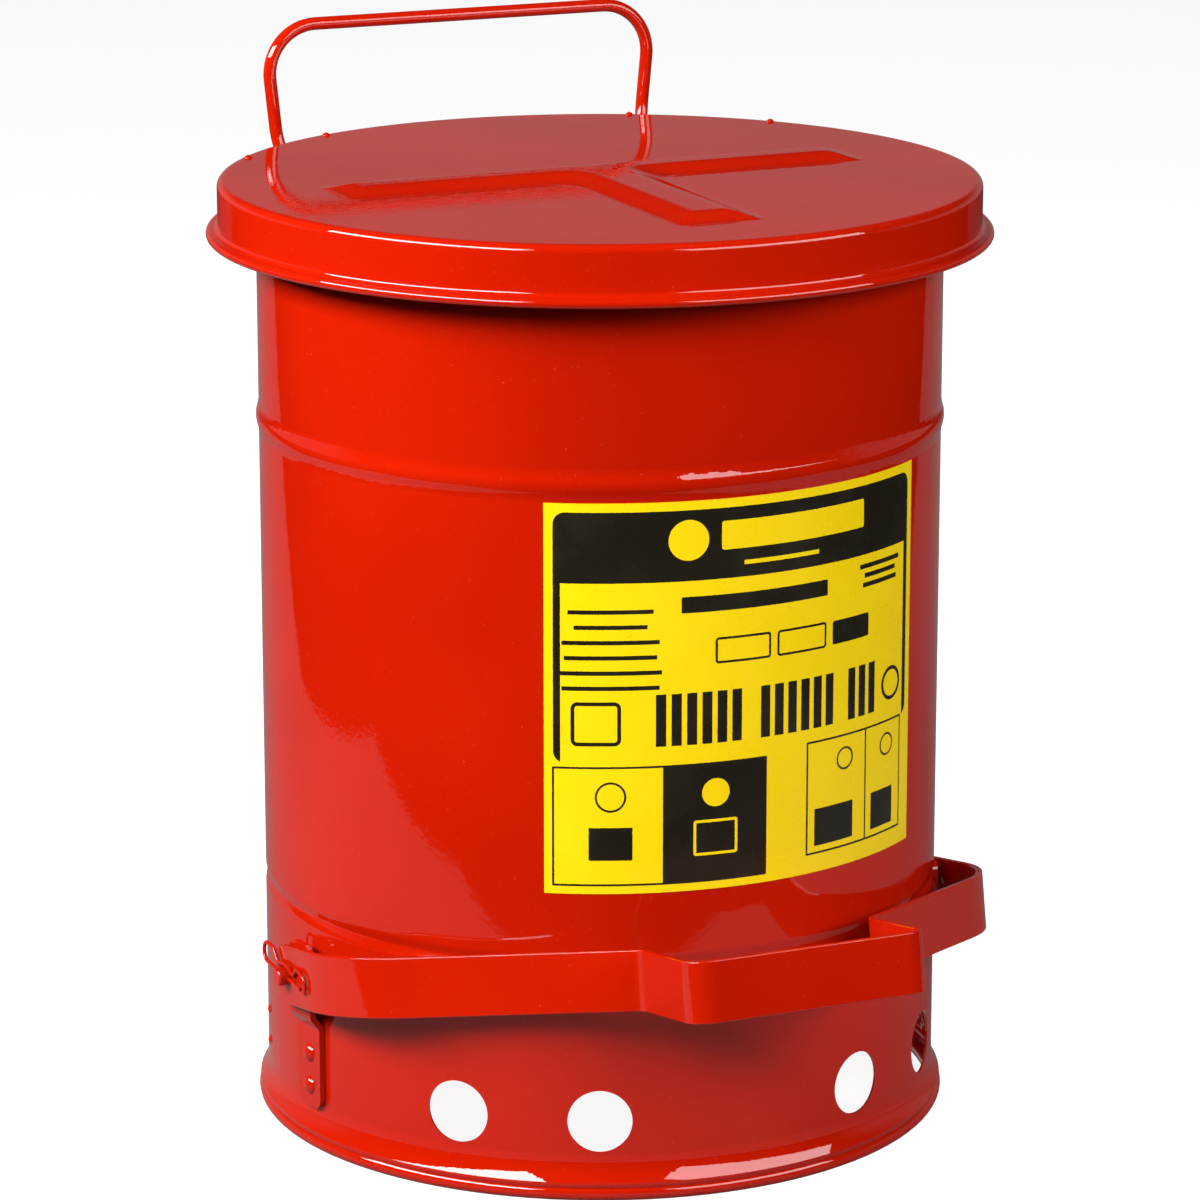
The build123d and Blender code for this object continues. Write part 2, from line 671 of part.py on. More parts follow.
clip_rivet = rivet_solid(3.0, 1.5, CLIP_SHANK_R, CLIP_THICK + SHEET + TAIL)
for name, side in (("left", -1), ("right", 1)):
    foot_x = side * HANDLE_FOOT_HALF + HANDLE_SHIFT
    foot_az = handle_foot_azimuth(side)
    with BuildPart() as clips:
        for z in CLIP_ZS:
            with BuildSketch(Plane.XY.offset(z - CLIP_HEIGHT / 2)):
                Circle(WALL_FACE + CLIP_THICK)
                with Locations(Location((foot_x, foot_y(foot_x)), foot_az - 180)):
                    Rectangle(CLIP_WIDTH, 20, mode=Mode.INTERSECT)
                    Circle(HANDLE_WIRE_R + SNUG + CLIP_THICK)
                    Circle(HANDLE_WIRE_R + SNUG, mode=Mode.SUBTRACT)
                    # open towards the wall, so that the clip is a saddle over the wire
                    Rectangle(
                        2 * (HANDLE_WIRE_R + SNUG), 20, align=(Align.CENTER, Align.MAX), mode=Mode.SUBTRACT
                    )
                Circle(WALL_FACE, mode=Mode.SUBTRACT)
            extrude(amount=CLIP_HEIGHT)
        drill(clip_spots[side], CLIP_SHANK_R + SNUG)
    save(clips, f"handle_clips_{name}")
    rivet_group(f"handle_clip_rivets_{name}", clip_rivet, clip_spots[side])

# ---------------------------------------------------------------- pedal strap
pedal_plane = Plane(
    origin=(0, SHAFT_Y, SHAFT_Z),
    x_dir=(1, 0, 0),
    z_dir=(0, sin(radians(STRAP_TILT)), cos(radians(STRAP_TILT))),
)


def strap_elbow_y():
    """Where the straight arm, tangent to a circle round the can, meets the side run."""
    root_y = -TREAD_ROOT + SHAFT_Y
    corner = hypot(TREAD_HALF, root_y)
    turn = atan2(-root_y, TREAD_HALF) - acos(STRAP_BODY_GAP / corner)
    return (STRAP_SIDE_X * cos(turn) - STRAP_BODY_GAP) / sin(turn) - SHAFT_Y


with BuildPart() as pedal_strap:
    with BuildSketch(pedal_plane):
        with BuildLine():
            elbow_y = strap_elbow_y()
            FilletPolyline(
                (-STRAP_SIDE_X, STRAP_END),
                (-STRAP_SIDE_X, elbow_y),
                (-TREAD_HALF, -TREAD_ROOT),
                (-TREAD_HALF, -TREAD_REACH),
                (TREAD_HALF, -TREAD_REACH),
                (TREAD_HALF, -TREAD_ROOT),
                (STRAP_SIDE_X, elbow_y),
                (STRAP_SIDE_X, STRAP_END),
                radius=[STRAP_BEND_R] + [TREAD_CORNER_R] * 4 + [STRAP_BEND_R],
            )
        trace(line_width=STRAP_THICK)
    extrude(amount=STRAP_HEIGHT / 2, both=True)
    ends = pedal_strap.faces().filter_by(Axis((0, 0, 0), pedal_plane.y_dir)).sort_by(Axis.Y)[-2:]
    end_edges = [edge for face in ends for edge in face.edges().filter_by(Axis.X)]
    fillet(end_edges, STRAP_END_R)
    long_faces = pedal_strap.faces().filter_by(Axis((0, 0, 0), pedal_plane.z_dir))
    fillet([edge for face in long_faces for edge in face.edges() if edge.length > 4], STRAP_EDGE_R)
    with BuildSketch(side_plane(0, SHAFT_Y, SHAFT_Z)):
        Circle(SHAFT_R + SNUG)
        Rectangle(4 * SHAFT_R, 2 * (SHAFT_FLAT + SNUG), mode=Mode.INTERSECT)
    extrude(amount=200, both=True, mode=Mode.SUBTRACT)
save(pedal_strap, "pedal_strap")

# ---------------------------------------------------------------- cross shaft and its fittings
with BuildPart() as pedal_shaft:
    with BuildSketch(side_plane(-SHAFT_HALF, SHAFT_Y, SHAFT_Z)):
        Circle(SHAFT_R)
    extrude(amount=2 * SHAFT_HALF)
    chamfer(pedal_shaft.edges().filter_by(GeomType.CIRCLE), 0.6)
    for x in (-SHAFT_HALF, FLAT_START):
        with BuildSketch(side_plane(x, SHAFT_Y, SHAFT_Z)):
            Circle(SHAFT_R + 1)
            Rectangle(4 * SHAFT_R, 2 * SHAFT_FLAT, mode=Mode.SUBTRACT)
        extrude(amount=SHAFT_HALF - FLAT_START, mode=Mode.SUBTRACT)
    for side in (-1, 1):
        with BuildSketch(Plane((side * HAIRPIN_X, SHAFT_Y, SHAFT_Z), x_dir=(1, 0, 0), z_dir=HAIRPIN_DIR)):
            Circle(HAIRPIN_WIRE_R + 0.15)
        extrude(amount=10, both=True, mode=Mode.SUBTRACT)
    with BuildSketch(Plane.XY.offset(SHAFT_Z)):
        with Locations((ROLL_PIN_X, SHAFT_Y)):
            Circle(ROLL_PIN_R)
    extrude(amount=10, both=True, mode=Mode.SUBTRACT)
save(pedal_shaft, "pedal_shaft")


def hairpin(label, side):
    """A spring clip: one leg goes through the shaft and the other hugs it."""
    plane = Plane((side * HAIRPIN_X, SHAFT_Y, SHAFT_Z), x_dir=HAIRPIN_DIR, z_dir=(-1, 0, 0))
    hump = SHAFT_R + HAIRPIN_WIRE_R + 0.25
    with BuildPart() as clip:
        with BuildLine(plane) as wire:
            FilletPolyline(
                (18.0, 0),
                (-25.0, 0),
                (-25.0, HAIRPIN_EYE),
                (-13.6, HAIRPIN_EYE),
                (-8.2, 3.2),
                (-3.8, hump),
                (3.8, hump),
                (8.4, 2.9),
                (13.4, 7.4),
                (22.4, 6.0),
                (22.4, -1.0),
                radius=[4.1, 4.1, 2.8, 2.3, 2.4, 2.4, 2.3, 3.0, 3.0],
            )
        with BuildSketch(Plane(wire.line @ 0, z_dir=wire.line % 0)) as section:
            Circle(HAIRPIN_WIRE_R)
        sweep(section.sketch, path=wire.line)
    save(clip, label)


hairpin("hairpin_left", -1)
hairpin("hairpin_right", 1)

for name, side in (("left", -1), ("right", 1)):
    with BuildPart() as bush:
        start = BUSH_FLANGE_X - 5.0 if side > 0 else -BUSH_FLANGE_X
        with BuildSketch(side_plane(start, SHAFT_Y, SHAFT_Z)):
            Circle(BUSH_R)
        extrude(amount=5.0)
        flange_at = BUSH_FLANGE_X if side > 0 else -BUSH_FLANGE_X - BUSH_FLANGE_THICK
        with BuildSketch(side_plane(flange_at, SHAFT_Y, SHAFT_Z)):
            Circle(BUSH_R + 1.6)
        extrude(amount=BUSH_FLANGE_THICK)
        cross_hole(SHAFT_Y, SHAFT_Z, SHAFT_R + RUNNING)
    save(bush, f"shaft_bush_{name}")

with BuildPart() as washers:
    for side in (-1, 1):
        centre = side * (STRAP_SIDE_X - STRAP_THICK / 2 - WASHER_THICK / 2 - 0.02)
        with BuildSketch(side_plane(centre, SHAFT_Y, SHAFT_Z)):
            Circle(7.0)
            Circle(SHAFT_R + SNUG, mode=Mode.SUBTRACT)
        extrude(amount=WASHER_THICK / 2, both=True)
save(washers, "shaft_washers")

# ---------------------------------------------------------------- pivot brackets
bracket_rivet = rivet_solid(4.1, 2.3, PLATE_SHANK_R, BRACKET_THICK + SHEET + TAIL)
for name, side in (("left", -1), ("right", 1)):
    face = wall_plane(side * BRACKET_AZ, (BRACKET_LOW + BRACKET_TOP) / 2, BODY_R)
    upper = WALL_FACE + BRACKET_OUT
    with BuildPart() as bracket:
        with BuildSketch(section_plane(side * BRACKET_AZ)):
            with BuildLine():
                FilletPolyline(
                    (WALL_FACE, BRACKET_LOW),
                    (WALL_FACE, BRACKET_STEP_Z),
                    (upper, BRACKET_STEP_Z + 5.5),
                    (upper, BRACKET_TOP),
                    (upper + BRACKET_THICK, BRACKET_TOP),
                    (upper + BRACKET_THICK, BRACKET_STEP_Z + 4.7),
                    (WALL_FACE + BRACKET_THICK, BRACKET_STEP_Z - 0.8),
                    (WALL_FACE + BRACKET_THICK, BRACKET_LOW),
                    close=True,
                    radius=[0.3, 3.0, 3.0, 0.3, 0.3, 3.0, 3.0, 0.3],
                )
            make_face()
        extrude(amount=BRACKET_WIDTH / 2, both=True)
        # rounded ends, seen from the side of the can
        with BuildSketch(face):
            RectangleRounded(BRACKET_WIDTH, BRACKET_TOP - BRACKET_LOW, 5.0)
        extrude(amount=12, both=True, mode=Mode.INTERSECT)
        cross_hole(SHAFT_Y, SHAFT_Z, SHAFT_R + RUNNING)
        drill(bracket_spots[side], PLATE_SHANK_R + SNUG)
    save(bracket, f"pivot_bracket_{name}")
    rivet_group(f"pivot_bracket_rivets_{name}", bracket_rivet, bracket_spots[side])

# ---------------------------------------------------------------- lever arm inside the base
ARM_ROOT_HALF = 8.0
ARM_TIP_HALF = 6.0
arm_tip = (SHAFT_Y + ARM_LENGTH * cos(radians(ARM_REST)), SHAFT_Z - ARM_DROP)
arm_plane = Plane(
    origin=(-ARM_THICK / 2, SHAFT_Y, SHAFT_Z),
    x_dir=(0, cos(radians(ARM_REST)), -sin(radians(ARM_REST))),
    z_dir=(1, 0, 0),
)
with BuildPart() as lever_arm:
    with BuildSketch(side_plane(-HUB_HALF, SHAFT_Y, SHAFT_Z)):
        Circle(HUB_R)
    extrude(amount=2 * HUB_HALF)
    with BuildSketch(arm_plane):
        with BuildLine():
            Polyline(
                (0, -ARM_ROOT_HALF),
                (0, ARM_ROOT_HALF),
                (ARM_LENGTH, ARM_TIP_HALF),
                (ARM_LENGTH, -ARM_TIP_HALF),
                close=True,
            )
        make_face()
        with Locations((ARM_LENGTH, 0)):
            Circle(ARM_TIP_HALF)
            slot_length = ARM_END_MID - ARM_END_REST + 2 * (ROD_PIN_R + ROD_PIN_PLAY)
            SlotOverall(slot_length, 2 * (ROD_PIN_R + ROD_PIN_PLAY), mode=Mode.SUBTRACT)
    extrude(amount=ARM_THICK)
    cross_hole(SHAFT_Y, SHAFT_Z, SHAFT_R + SNUG)
    with BuildSketch(Plane.XY.offset(SHAFT_Z)):
        with Locations((ROLL_PIN_X, SHAFT_Y)):
            Circle(ROLL_PIN_R)
    extrude(amount=2 * HUB_R, both=True, mode=Mode.SUBTRACT)
save(lever_arm, "lever_arm")

with BuildPart() as arm_roll_pin:
    with BuildSketch(Plane.XY.offset(SHAFT_Z)):
        with Locations((ROLL_PIN_X, SHAFT_Y)):
            Circle(ROLL_PIN_R - SNUG)
            Circle(0.6 * ROLL_PIN_R, mode=Mode.SUBTRACT)
    extrude(amount=HUB_R + 0.3, both=True)
save(arm_roll_pin, "arm_roll_pin")

# strap across the inside of the base that the arm rests on when the lid is shut
with BuildPart() as lever_rest:
    with BuildSketch(Plane.XY.offset(REST_LOW)):
        with Locations((0, sum(REST_Y) / 2)):
            Rectangle(2 * REST_TAB_R[1], REST_Y[1] - REST_Y[0])
        Circle(REST_TAB_R[0] + 1.2, mode=Mode.INTERSECT)
    extrude(amount=REST_THICK)
    for side in (-1, 1):
        tab_az = sorted(side * az for az in REST_TAB_AZ)
        ring_sector(*REST_TAB_R, BASE_RIVET_ZS[1] - 6, REST_LOW + REST_THICK, *tab_az)
    drill(base_spots, BASE_SHANK_R + SNUG)
save(lever_rest, "lever_rest")
base_rivet = rivet_solid(2.25, 1.0, BASE_SHANK_R, SHEET + FIT_GAP + REST_TAB_R[1] - REST_TAB_R[0] + TAIL)
rivet_group("base_rivets", base_rivet, base_spots)

# ---------------------------------------------------------------- lift rod
SLOT_WALL = 2.6
with BuildPart() as lift_rod:
    top_y, top_z = ROD_PIN_TOP
    low_y, low_z = ROD_PIN_LOW
    slot_half = ROD_PIN_R + ROD_PIN_PLAY
    slot_front = HINGE_Y - LIFT - slot_half
    slot_back = top_y + slot_half
    slot_centre = ((slot_front + slot_back) / 2, top_z)
    with BuildSketch(side_plane(ROD_X, 0, 0)):
        with Locations((ROD_FRONT_Y + ROD_WIDTH / 2, (low_z + top_z) / 2)):
            Rectangle(ROD_WIDTH, top_z - low_z)
        with Locations((ROD_FRONT_Y + ROD_WIDTH / 2, low_z)):
            Circle(ROD_WIDTH / 2)
        with Locations(slot_centre):
            SlotOverall(slot_back - slot_front + 2 * SLOT_WALL, 2 * (slot_half + SLOT_WALL))
            SlotOverall(slot_back - slot_front, 2 * slot_half, mode=Mode.SUBTRACT)
    extrude(amount=ROD_THICK)
    cross_hole(low_y, low_z, ROD_PIN_R + SNUG)
save(lift_rod, "lift_rod")


def headed_pin(label, head_x, head_side, end_x, y, z):
    """A pin along X with a round head at one end and a groove for its clip near the other."""
    with BuildPart() as pin:
        with BuildSketch(side_plane(min(head_x, end_x), y, z)):
            Circle(ROD_PIN_R)
        extrude(amount=abs(end_x - head_x))
        with BuildSketch(side_plane(head_x if head_side > 0 else head_x - PIN_HEAD_THICK, y, z)):
            Circle(PIN_HEAD_R)
        extrude(amount=PIN_HEAD_THICK)
        groove_x = end_x + head_side * 1.2 if head_side > 0 else end_x - 1.2 - PIN_GROOVE
        with BuildSketch(side_plane(groove_x, y, z)):
            Circle(ROD_PIN_R + 1)
            Circle(ROD_PIN_R - 0.6, mode=Mode.SUBTRACT)
        extrude(amount=PIN_GROOVE, mode=Mode.SUBTRACT)
    save(pin, label)
    spring_clip(f"{label}_clip", groove_x + 0.05, y, z, ROD_PIN_R, PIN_GROOVE - 0.1)


PIN_HEAD_R = 4.5
PIN_HEAD_THICK = 1.5
PIN_GROOVE = 0.8
headed_pin("rod_top_pin", -ARM_THICK / 2 - HEAD_GAP, -1, ROD_X + ROD_THICK + 2.4, *ROD_PIN_TOP)
headed_pin("rod_bottom_pin", ROD_X + ROD_THICK + HEAD_GAP, 1, -ARM_THICK / 2 - 2.5, *ROD_PIN_LOW)

# guides on the rear wall that keep the rod upright
guide_rivet = rivet_solid(3.6, 1.8, PLATE_SHANK_R, GUIDE_THICK + SHEET + TAIL)
for name, z in (("lower", GUIDE_ZS[0]), ("upper", GUIDE_ZS[1])):
    way = ROD_THICK / 2 + GUIDE_GAP
    bridge_y = ROD_BACK_Y + GUIDE_GAP + GUIDE_THICK
    with BuildPart() as guide:
        with BuildSketch(Plane.XY.offset(z - GUIDE_HEIGHT / 2)):
            Circle(WALL_FACE + GUIDE_THICK)
            with Locations((ROD_MIDDLE_X, BODY_R)):
                Rectangle(48, 40, mode=Mode.INTERSECT)
            with Locations((ROD_MIDDLE_X, (BODY_R + bridge_y) / 2)):
                RectangleRounded(2 * (way + GUIDE_THICK), bridge_y - BODY_R, 1.9)
            Circle(WALL_FACE, mode=Mode.SUBTRACT)
            with Locations((ROD_MIDDLE_X, (BODY_R + bridge_y) / 2 - GUIDE_THICK - 5)):
                Rectangle(2 * way, bridge_y - BODY_R + 10, mode=Mode.SUBTRACT)
        extrude(amount=GUIDE_HEIGHT)
        drill(guide_spots[z], PLATE_SHANK_R + SNUG)
    save(guide, f"rod_guide_{name}")
    rivet_group(f"rod_guide_rivets_{name}", guide_rivet, guide_spots[z])
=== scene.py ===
"""Looks for the oily waste can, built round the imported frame. Metres, -Y is the pedal side."""

import json
from math import cos, hypot, pi, radians, sin

import bpy
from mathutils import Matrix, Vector


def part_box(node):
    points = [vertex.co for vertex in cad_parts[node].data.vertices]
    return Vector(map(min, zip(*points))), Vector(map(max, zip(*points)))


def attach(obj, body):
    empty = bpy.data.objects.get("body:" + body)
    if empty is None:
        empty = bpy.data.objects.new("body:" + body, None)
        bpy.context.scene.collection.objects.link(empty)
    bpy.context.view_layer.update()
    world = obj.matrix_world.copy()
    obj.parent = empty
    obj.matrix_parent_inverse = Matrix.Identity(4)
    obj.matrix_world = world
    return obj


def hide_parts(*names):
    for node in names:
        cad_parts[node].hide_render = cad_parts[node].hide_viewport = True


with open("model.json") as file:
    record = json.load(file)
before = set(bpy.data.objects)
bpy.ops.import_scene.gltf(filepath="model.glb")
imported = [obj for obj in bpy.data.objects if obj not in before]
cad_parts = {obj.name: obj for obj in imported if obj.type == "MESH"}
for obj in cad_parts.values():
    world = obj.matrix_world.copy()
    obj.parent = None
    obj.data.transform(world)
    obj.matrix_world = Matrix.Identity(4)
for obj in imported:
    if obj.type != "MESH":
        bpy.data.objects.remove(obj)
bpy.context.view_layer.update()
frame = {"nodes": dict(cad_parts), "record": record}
nodes = frame["nodes"]

# ---------------------------------------------------------------- sizes
MM = 0.001
BODY_R = 146.0 * MM
LABEL_AZIMUTH = radians(2.8)
lid_low, lid_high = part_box("lid_shell")
label_low, label_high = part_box("label_sticker")


# ---------------------------------------------------------------- node helpers
class Graph:
    """Small helper that wires shader nodes together."""

    def __init__(self, name):
        self.material = bpy.data.materials.new(name)
        self.material.use_nodes = True
        self.tree = self.material.node_tree
        self.shader = self.tree.nodes["Principled BSDF"]
        self.place = self.tree.nodes.new("ShaderNodeTexCoord").outputs["Object"]

    def link(self, value, socket):
        if isinstance(value, bpy.types.NodeSocket):
            self.tree.links.new(value, socket)
        else:
            socket.default_value = value

    def math(self, kind, a, b=0.0, c=0.0, clamp=False):
        node = self.tree.nodes.new("ShaderNodeMath")
        node.operation = kind
        node.use_clamp = clamp
        for value, socket in zip((a, b, c), node.inputs):
            self.link(value, socket)
        return node.outputs[0]

    def noise(self, scale, detail=3.0, rough=0.5):
        node = self.tree.nodes.new("ShaderNodeTexNoise")
        node.inputs["Scale"].default_value = scale
        node.inputs["Detail"].default_value = detail
        node.inputs["Roughness"].default_value = rough
        self.link(self.place, node.inputs["Vector"])
        return node.outputs["Fac"]

    def ramp(self, value, low, high, out_low=0.0, out_high=1.0):
        """Smooth step from out_low to out_high as the value goes from low to high."""
        node = self.tree.nodes.new("ShaderNodeMapRange")
        node.interpolation_type = "SMOOTHSTEP"
        node.inputs["From Min"].default_value = low
        node.inputs["From Max"].default_value = high
        node.inputs["To Min"].default_value = out_low
        node.inputs["To Max"].default_value = out_high
        self.link(value, node.inputs["Value"])
        return node.outputs["Result"]

    def mix(self, factor, a, b):
        """Colour a where the factor is 0, colour b where it is 1."""
        node = self.tree.nodes.new("ShaderNodeMix")
        node.data_type = "RGBA"
        self.link(factor, node.inputs[0])
        self.link(a, node.inputs[6])
        self.link(b, node.inputs[7])
        return node.outputs[2]

    def xyz(self):
        """Object coordinates, in metres."""
        node = self.tree.nodes.new("ShaderNodeSeparateXYZ")
        self.link(self.place, node.inputs[0])
        return node.outputs

    def bump(self, height, strength, distance):
        node = self.tree.nodes.new("ShaderNodeBump")
        node.inputs["Strength"].default_value = strength
        node.inputs["Distance"].default_value = distance
        self.link(height, node.inputs["Height"])
        return node.outputs["Normal"]


def rgb(r, g, b):
    return (r, g, b, 1.0)


def grey(level):
    return rgb(level, level, level)


# ---------------------------------------------------------------- materials
RED_DEEP = rgb(0.405, 0.0075, 0.0003)
RED_BRIGHT = rgb(0.445, 0.0088, 0.0004)
RED_FLECK = rgb(0.52, 0.08, 0.06)
RED_SPRAYED = rgb(0.43, 0.0082, 0.0004)
YELLOW_DEEP = rgb(0.86, 0.605, 0.002)
YELLOW_BRIGHT = rgb(0.88, 0.625, 0.0025)
INK_DEEP = rgb(0.010, 0.008, 0.004)
INK_BRIGHT = rgb(0.016, 0.013, 0.006)
ENAMEL_IOR = 1.5
STRIPE_PITCH = 6.5          # upright strokes on the label, millimetres
STRIPE_SHARE = 0.66


def red_enamel():
    """Glossy clear-coated paint with a slight orange peel and a few fine flecks."""
    g = Graph("red_enamel")
    s = g.shader
    broad = g.noise(9.0, 2.0)
    specks = g.ramp(g.noise(900.0, 1.0), 0.74, 0.78)
    base = g.mix(g.ramp(broad, 0.35, 0.65), RED_DEEP, RED_BRIGHT)
    g.link(g.mix(g.math("MULTIPLY", specks, 0.35), base, RED_FLECK), s.inputs["Base Color"])
    rough = g.ramp(g.noise(60.0, 4.0), 0.3, 0.7, 0.30, 0.38)
    g.link(rough, s.inputs["Roughness"])
    s.inputs["IOR"].default_value = ENAMEL_IOR
    s.inputs["Specular IOR Level"].default_value = 0.0
    s.inputs["Coat Weight"].default_value = 1.0
    s.inputs["Coat Roughness"].default_value = 0.025
    s.inputs["Coat IOR"].default_value = ENAMEL_IOR
    peel = g.math("ADD", g.noise(430.0, 2.0, 0.4), g.math("MULTIPLY", g.noise(55.0, 1.0), 0.9))
    bump = g.bump(peel, 0.14, 0.00016)
    g.link(bump, s.inputs["Normal"])
    g.link(bump, s.inputs["Coat Normal"])
    return g.material


def bare_metal(name, color, rough, grain=0.05):
    """Plain metal with cloudy tone and a fine grain."""
    g = Graph(name)
    s = g.shader
    cloud = g.noise(45.0, 5.0, 0.6)
    dark = tuple(0.72 * c for c in color)
    g.link(g.mix(g.ramp(cloud, 0.3, 0.7), rgb(*dark), rgb(*color)), s.inputs["Base Color"])
    s.inputs["Metallic"].default_value = 1.0
    g.link(g.ramp(g.noise(220.0, 4.0), 0.3, 0.7, rough, rough + 0.16), s.inputs["Roughness"])
    g.link(g.bump(g.noise(700.0, 3.0), grain, 0.0001), s.inputs["Normal"])
    return g.material


def shaft_steel(painted_from):
    """Bare between its bushes, sprayed red with the can where its ends stand outside."""
    g = Graph("shaft_steel")
    s = g.shader
    x = g.xyz()[0]
    ends = g.math("GREATER_THAN", g.math("ABSOLUTE", x), painted_from)
    steel = g.mix(g.ramp(g.noise(60.0, 4.0), 0.3, 0.7), rgb(0.34, 0.34, 0.35), rgb(0.48, 0.48, 0.49))
    g.link(g.mix(ends, steel, RED_SPRAYED), s.inputs["Base Color"])
    g.link(g.math("SUBTRACT", 1.0, ends), s.inputs["Metallic"])
    g.link(g.ramp(g.noise(240.0, 3.0), 0.3, 0.7, 0.16, 0.3), s.inputs["Roughness"])
    g.link(g.bump(g.noise(430.0, 2.0), 0.12, 0.00015), s.inputs["Normal"])
    return g.material


def galvanised():
    """Zinc-coated sheet with its crystal pattern."""
    g = Graph("galvanised_sheet")
    s = g.shader
    cells = g.tree.nodes.new("ShaderNodeTexVoronoi")
    cells.inputs["Scale"].default_value = 130.0
    g.link(g.place, cells.inputs["Vector"])
    tone = g.ramp(cells.outputs["Color"], 0.1, 0.9, 0.0, 1.0)
    g.link(g.mix(tone, rgb(0.40, 0.41, 0.43), rgb(0.60, 0.62, 0.64)), s.inputs["Base Color"])
    s.inputs["Metallic"].default_value = 0.9
    g.link(g.ramp(tone, 0.0, 1.0, 0.34, 0.52), s.inputs["Roughness"])
    g.link(g.bump(g.noise(300.0, 4.0), 0.1, 0.0002), s.inputs["Normal"])
    return g.material


def nylon():
    """Moulded black plastic of the bushes."""
    g = Graph("black_nylon")
    s = g.shader
    tone = g.mix(g.noise(200.0, 3.0), rgb(0.012, 0.012, 0.013), rgb(0.03, 0.03, 0.031))
    g.link(tone, s.inputs["Base Color"])
    s.inputs["Roughness"].default_value = 0.45
    g.link(g.bump(g.noise(900.0, 2.0), 0.15, 0.0002), s.inputs["Normal"])
    return g.material


def printed_label():
    """Yellow sticker with black panels and plain bars, laid out in millimetres on the unrolled label."""
    g = Graph("printed_label")
    s = g.shader
    x, y, z = g.xyz()
    azimuth = g.math("ARCTAN2", x, g.math("MULTIPLY", y, -1.0))
    u = g.math("MULTIPLY", g.math("SUBTRACT", azimuth, LABEL_AZIMUTH), BODY_R / MM)
    middle = (label_low.z + label_high.z) / 2
    v = g.math("MULTIPLY", g.math("SUBTRACT", z, middle), 1 / MM)

    def length(a, b):
        return g.math("SQRT", g.math("ADD", g.math("MULTIPLY", a, a), g.math("MULTIPLY", b, b)))

    def inside(distance, line):
        """1 where the distance is negative, or along its zero when a line width is given."""
        if line is not None:
            distance = g.math("SUBTRACT", g.math("ABSOLUTE", distance), line / 2)
        return g.math("LESS_THAN", distance, 0.0)

    def box(cu, cv, half_u, half_v, radius=0.0, line=None):
        """A rounded rectangle, filled or as an outline."""
        du = g.math("SUBTRACT", g.math("ABSOLUTE", g.math("SUBTRACT", u, cu)), half_u - radius)
        dv = g.math("SUBTRACT", g.math("ABSOLUTE", g.math("SUBTRACT", v, cv)), half_v - radius)
        reach = length(g.math("MAXIMUM", du, 0.0), g.math("MAXIMUM", dv, 0.0))
        inner = g.math("MINIMUM", g.math("MAXIMUM", du, dv), 0.0)
        return inside(g.math("SUBTRACT", g.math("ADD", reach, inner), radius), line)

    def disc(cu, cv, radius, line=None):
        """A disc or a ring."""
        reach = length(g.math("SUBTRACT", u, cu), g.math("SUBTRACT", v, cv))
        return inside(g.math("SUBTRACT", reach, radius), line)

    def union(*masks):
        total = masks[0]
        for mask in masks[1:]:
            total = g.math("MAXIMUM", total, mask)
        return total

    def without(a, b):
        return g.math("MULTIPLY", a, g.math("SUBTRACT", 1.0, b))

    # a plain row of upright strokes in three groups
    stripes = g.math("LESS_THAN", g.math("FRACT", g.math("DIVIDE", u, STRIPE_PITCH)), STRIPE_SHARE)
    group_spans = ((-27.1, 18.6), (18.4, 18.6), (54.2, 8.8))
    groups = union(*(box(cu, -9, half_u, 11.0) for cu, half_u in group_spans))

    # header: a black band with rounded shoulders and thin legs that frame the upper half
    shoulders = box(0, 26, 87.5, 52.5, 5.0)
    legs = without(shoulders, box(0, -4, 84.5, 61.0, 5.0))
    header = union(legs, g.math("MULTIPLY", shoulders, box(0, 66, 90, 17.0)))
    header = without(header, union(box(18, 67, 36, 6.0, 1.0), disc(-32, 66, 8.5), box(10, 55, 18, 0.9)))
    line_halves = (17.5, 15.0, 20.0, 19.0, 21.0, 20.0)
    lines = [box(-64, 37 - 6.4 * i, half, 0.9) for i, half in enumerate(line_halves)]
    bars = [
        box(-1, 39, 34, 3.4, 0.6),
        box(-8, 19, 12, 5.0, 1.0, line=1.0),
        box(20, 19, 12, 5.0, 1.0, line=1.0),
        box(47, 19, 11, 5.0, 1.0),
        box(66, 44, 14, 1.0),
        box(66, 40, 11, 1.0),
        box(66, 36, 12, 1.0),
        g.math("MULTIPLY", stripes, groups),
        box(-70, -10, 9.5, 8.5, 2.0, line=1.6),
        disc(75, -10, 6.5, line=1.6),
    ]
    # lower left: a framed pair of panels, the right one black with yellow marks
    pair = union(box(-42.5, -53.5, 45.0, 25.0, line=0.9), box(-20.0, -53.5, 22.5, 25.0))
    pale_marks = union(
        disc(-64, -41, 6.0, line=0.9),
        box(-64, -55, 9.0, 1.0),
        box(-64, -62, 9.0, 6.0, 0.6),
    )
    dark_marks = union(disc(-20, -41, 6.0), box(-20, -60, 9.0, 7.0, 0.6, line=1.2))
    # lower right: two outlined panels
    right = union(
        box(40, -50, 17.0, 24.0, line=0.9),
        box(70, -50, 13.0, 24.0, line=0.9),
        box(38, -63, 11.0, 8.0),
        box(69, -63, 8.0, 8.0),
        disc(44, -36, 4.5, line=0.9),
        disc(72, -36, 4.5, line=0.9),
    )
    black = without(union(header, *lines, *bars, pair, pale_marks, right), dark_marks)
    wear = g.ramp(g.noise(26.0, 5.0, 0.65), 0.35, 0.75)
    yellow = g.mix(wear, YELLOW_DEEP, YELLOW_BRIGHT)
    ink = g.mix(wear, INK_DEEP, INK_BRIGHT)
    g.link(g.mix(black, yellow, ink), s.inputs["Base Color"])
    g.link(g.ramp(wear, 0.0, 1.0, 0.26, 0.34), s.inputs["Roughness"])
    g.link(g.bump(g.noise(120.0, 2.0), 0.035, 0.0003), s.inputs["Normal"])
    return g.material


